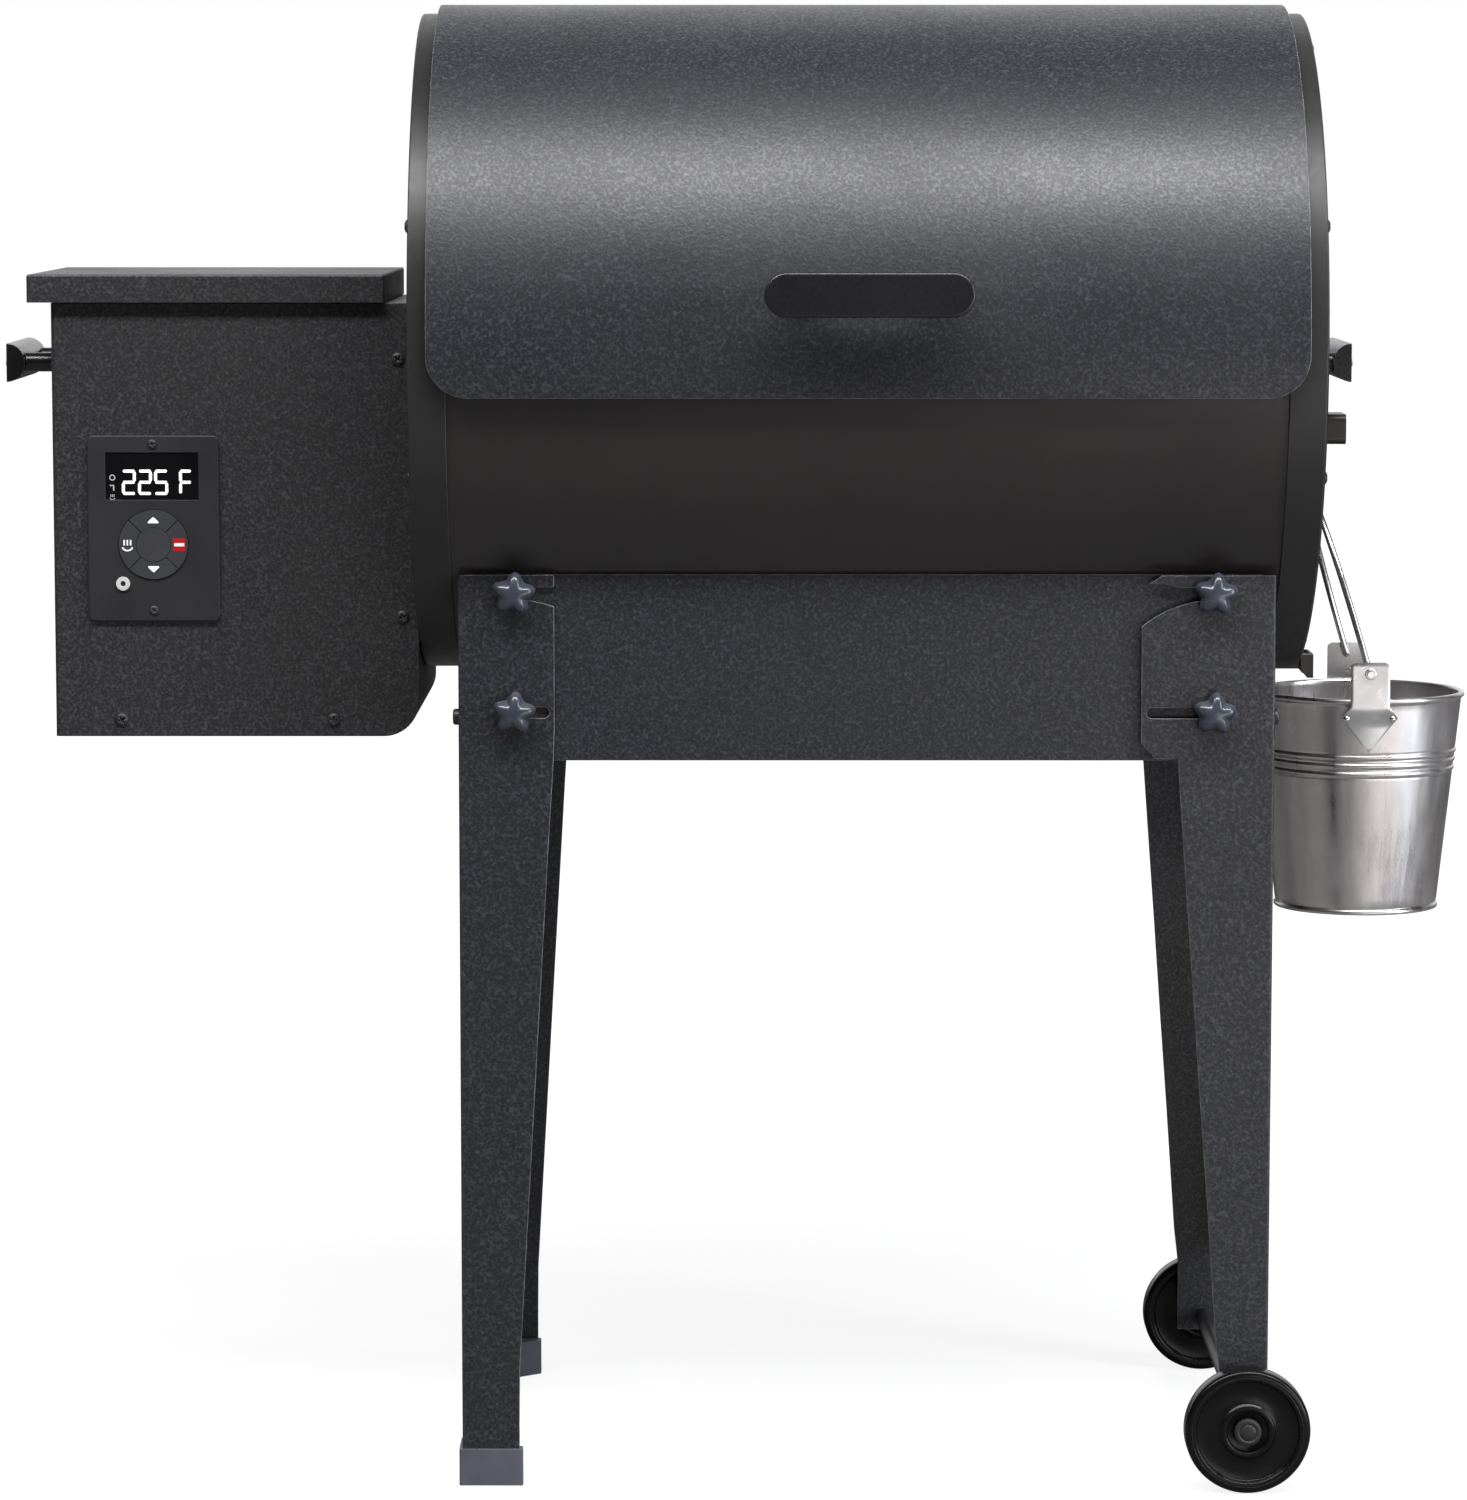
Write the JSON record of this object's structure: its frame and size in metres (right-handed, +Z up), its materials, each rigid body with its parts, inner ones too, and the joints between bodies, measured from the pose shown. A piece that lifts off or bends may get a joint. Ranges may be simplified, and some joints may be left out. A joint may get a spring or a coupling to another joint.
{
  "type": "pellet smoker grill",
  "caption": "Portable wood-pellet smoker grill: barrel cooking chamber with hinged lid, side pellet hopper with controller, folding legs, wheels and a hanging grease bucket.",
  "frame": {"origin": "on the floor, under the middle of the overall box", "axes": "+X to the user's right (bucket side), -Y towards the user, +Z up"},
  "size_m": [0.9211, 0.457, 0.9139],
  "materials": {
    "textured_coat": "fine wrinkle powder coat, charcoal",
    "body_coat": "satin black high-temperature enamel",
    "hopper_coat": "fine textured black powder coat",
    "black_plastic": "satin moulded plastic",
    "wheel_plastic": "glossy moulded plastic",
    "foot_plastic": "grey moulded cap",
    "zinc": "zinc plated",
    "galvanised": "galvanised sheet",
    "raw_steel": "heat-tinted sheet steel",
    "cast": "cast, as ground",
    "enamel": "porcelain enamel",
    "display": "dark display window",
    "nylon": "natural nylon"
  },
  "bodies": {
    "main_body": {"barrel_shell": "body_coat", "left_end_cap": "body_coat", "right_end_cap": "body_coat", "front_panel": "textured_coat", "rear_panel": "textured_coat", "panel_studs": "zinc", "firepot": "cast", "igniter_rod": "zinc", "auger_tube": "galvanised", "auger_motor": "zinc", "heat_baffle": "raw_steel", "temperature_probe": "zinc", "drain_spout": "body_coat", "bucket_hook": "body_coat", "probe_port": "body_coat", "left_carry_handle": "body_coat", "right_carry_handle": "body_coat", "rear_vent_hood": "body_coat", "hopper_shell": "hopper_coat", "hopper_funnel": "galvanised", "control_bezel": "black_plastic", "display_window": "display", "probe_jack": "zinc", "fan_housing": "black_plastic", "power_inlet": "black_plastic", "case_screws": "zinc", "lid_hinge_leaves": "body_coat"},
    "lid": {"lid_shell": "textured_coat", "lid_handle": "body_coat"},
    "hopper_lid": {"hopper_lid": "hopper_coat"},
    "auger": {"auger_screw": "cast"},
    "impeller": {"fan_impeller": "black_plastic"},
    "grate": {"grill_grate": "enamel"},
    "tray": {"drip_tray": "raw_steel"},
    "key_up": {"button_up": "black_plastic"},
    "key_down": {"button_down": "black_plastic"},
    "key_left": {"button_left": "black_plastic"},
    "key_right": {"button_right": "black_plastic"},
    "key_center": {"button_center": "black_plastic"},
    "left_pivot": {"left_pivot_bushes": "nylon"},
    "left_legs": {"leg_front_left": "textured_coat", "leg_rear_left": "textured_coat", "left_cross_rod": "zinc", "left_feet": "foot_plastic"},
    "right_pivot": {"right_pivot_bushes": "nylon"},
    "right_legs": {"leg_front_right": "textured_coat", "leg_rear_right": "textured_coat", "wheel_axle": "zinc"},
    "front_wheel": {"wheel_front": "wheel_plastic"},
    "rear_wheel": {"wheel_rear": "wheel_plastic"},
    "bail": {"bucket_bail": "zinc"},
    "bucket": {"drip_bucket": "galvanised"},
    "b_knob_front_left_low": {"knob_front_left_low": "black_plastic"},
    "b_knob_front_left_up": {"knob_front_left_up": "black_plastic"},
    "b_knob_front_right_low": {"knob_front_right_low": "black_plastic"},
    "b_knob_front_right_up": {"knob_front_right_up": "black_plastic"},
    "b_knob_rear_left_up": {"knob_rear_left_up": "black_plastic"},
    "b_knob_rear_right_up": {"knob_rear_right_up": "black_plastic"}
  },
  "joints": [
    {"name": "lid_hinge", "type": "hinge", "parent": "main_body", "child": "lid", "pos_m": [0.0744, 0.2195, 0.772], "axis": [-1, 0, 0], "range_deg": [0, 90]},
    {"name": "hopper_lid_hinge", "type": "hinge", "parent": "main_body", "child": "hopper_lid", "pos_m": [-0.3306, 0.113, 0.734], "axis": [-1, 0, 0], "range_deg": [0, 100]},
    {"name": "auger_spin", "type": "hinge", "parent": "main_body", "child": "auger", "pos_m": [-0.1756, 0.0115, 0.535], "axis": [1, 0, 0], "continuous": true},
    {"name": "impeller_spin", "type": "hinge", "parent": "main_body", "child": "impeller", "pos_m": [-0.2506, 0.0715, 0.544], "axis": [0, 1, 0], "continuous": true},
    {"name": "grate_lift", "type": "slide", "parent": "main_body", "child": "grate", "axis": [0, 0, 1], "range_m": [0, 0.06]},
    {"name": "tray_lift", "type": "slide", "parent": "main_body", "child": "tray", "axis": [0, 0, 1], "range_m": [0, 0.015]},
    {"name": "press_up", "type": "slide", "parent": "main_body", "child": "key_up", "axis": [0, 1, 0], "range_m": [0, 0.001]},
    {"name": "press_down", "type": "slide", "parent": "main_body", "child": "key_down", "axis": [0, 1, 0], "range_m": [0, 0.001]},
    {"name": "press_left", "type": "slide", "parent": "main_body", "child": "key_left", "axis": [0, 1, 0], "range_m": [0, 0.001]},
    {"name": "press_right", "type": "slide", "parent": "main_body", "child": "key_right", "axis": [0, 1, 0], "range_m": [0, 0.001]},
    {"name": "press_center", "type": "slide", "parent": "main_body", "child": "key_center", "axis": [0, 1, 0], "range_m": [0, 0.001]},
    {"name": "left_fold", "type": "hinge", "parent": "main_body", "child": "left_pivot", "pos_m": [-0.1396, 0.0115, 0.482], "axis": [0, -1, 0], "range_deg": [0, 88]},
    {"name": "left_slide", "type": "slide", "parent": "left_pivot", "child": "left_legs", "axis": [1, 0, 0], "range_m": [-0.018, 0]},
    {"name": "right_fold", "type": "hinge", "parent": "main_body", "child": "right_pivot", "pos_m": [0.2874, 0.0115, 0.482], "axis": [0, 1, 0], "range_deg": [0, 66]},
    {"name": "right_slide", "type": "slide", "parent": "right_pivot", "child": "right_legs", "axis": [1, 0, 0], "range_m": [0, 0.038]},
    {"name": "front_wheel_spin", "type": "hinge", "parent": "right_legs", "child": "front_wheel", "pos_m": [0.3109, -0.158, 0.0388], "axis": [0, 1, 0], "continuous": true},
    {"name": "rear_wheel_spin", "type": "hinge", "parent": "right_legs", "child": "rear_wheel", "pos_m": [0.3109, 0.181, 0.0388], "axis": [0, 1, 0], "continuous": true},
    {"name": "turn_knob_front_left_low", "type": "hinge", "parent": "main_body", "child": "b_knob_front_left_low", "pos_m": [-0.1396, -0.1515, 0.482], "axis": [0, 1, 0], "continuous": true},
    {"name": "turn_knob_front_left_up", "type": "hinge", "parent": "main_body", "child": "b_knob_front_left_up", "pos_m": [-0.1396, -0.1515, 0.555], "axis": [0, 1, 0], "continuous": true},
    {"name": "turn_knob_front_right_low", "type": "hinge", "parent": "main_body", "child": "b_knob_front_right_low", "pos_m": [0.2874, -0.1545, 0.482], "axis": [0, 1, 0], "continuous": true},
    {"name": "turn_knob_front_right_up", "type": "hinge", "parent": "main_body", "child": "b_knob_front_right_up", "pos_m": [0.2874, -0.1545, 0.555], "axis": [0, 1, 0], "continuous": true},
    {"name": "turn_knob_rear_left_up", "type": "hinge", "parent": "main_body", "child": "b_knob_rear_left_up", "pos_m": [-0.1396, 0.1745, 0.555], "axis": [0, 1, 0], "continuous": true},
    {"name": "turn_knob_rear_right_up", "type": "hinge", "parent": "main_body", "child": "b_knob_rear_right_up", "pos_m": [0.2874, 0.1775, 0.555], "axis": [0, 1, 0], "continuous": true},
    {"name": "bail_swing", "type": "hinge", "parent": "main_body", "child": "bail", "pos_m": [0.3584, 0.0115, 0.6133], "axis": [0, -1, 0], "range_deg": [0, 20]},
    {"name": "bucket_tilt", "type": "hinge", "parent": "bail", "child": "bucket", "pos_m": [0.3929, 0.0115, 0.497], "axis": [0, 1, 0], "range_deg": [-12, 4]}
  ],
  "couplings": [
    {"joint": "right_slide", "follows": "left_fold", "m_per_rad": 0.024731}
  ]
}
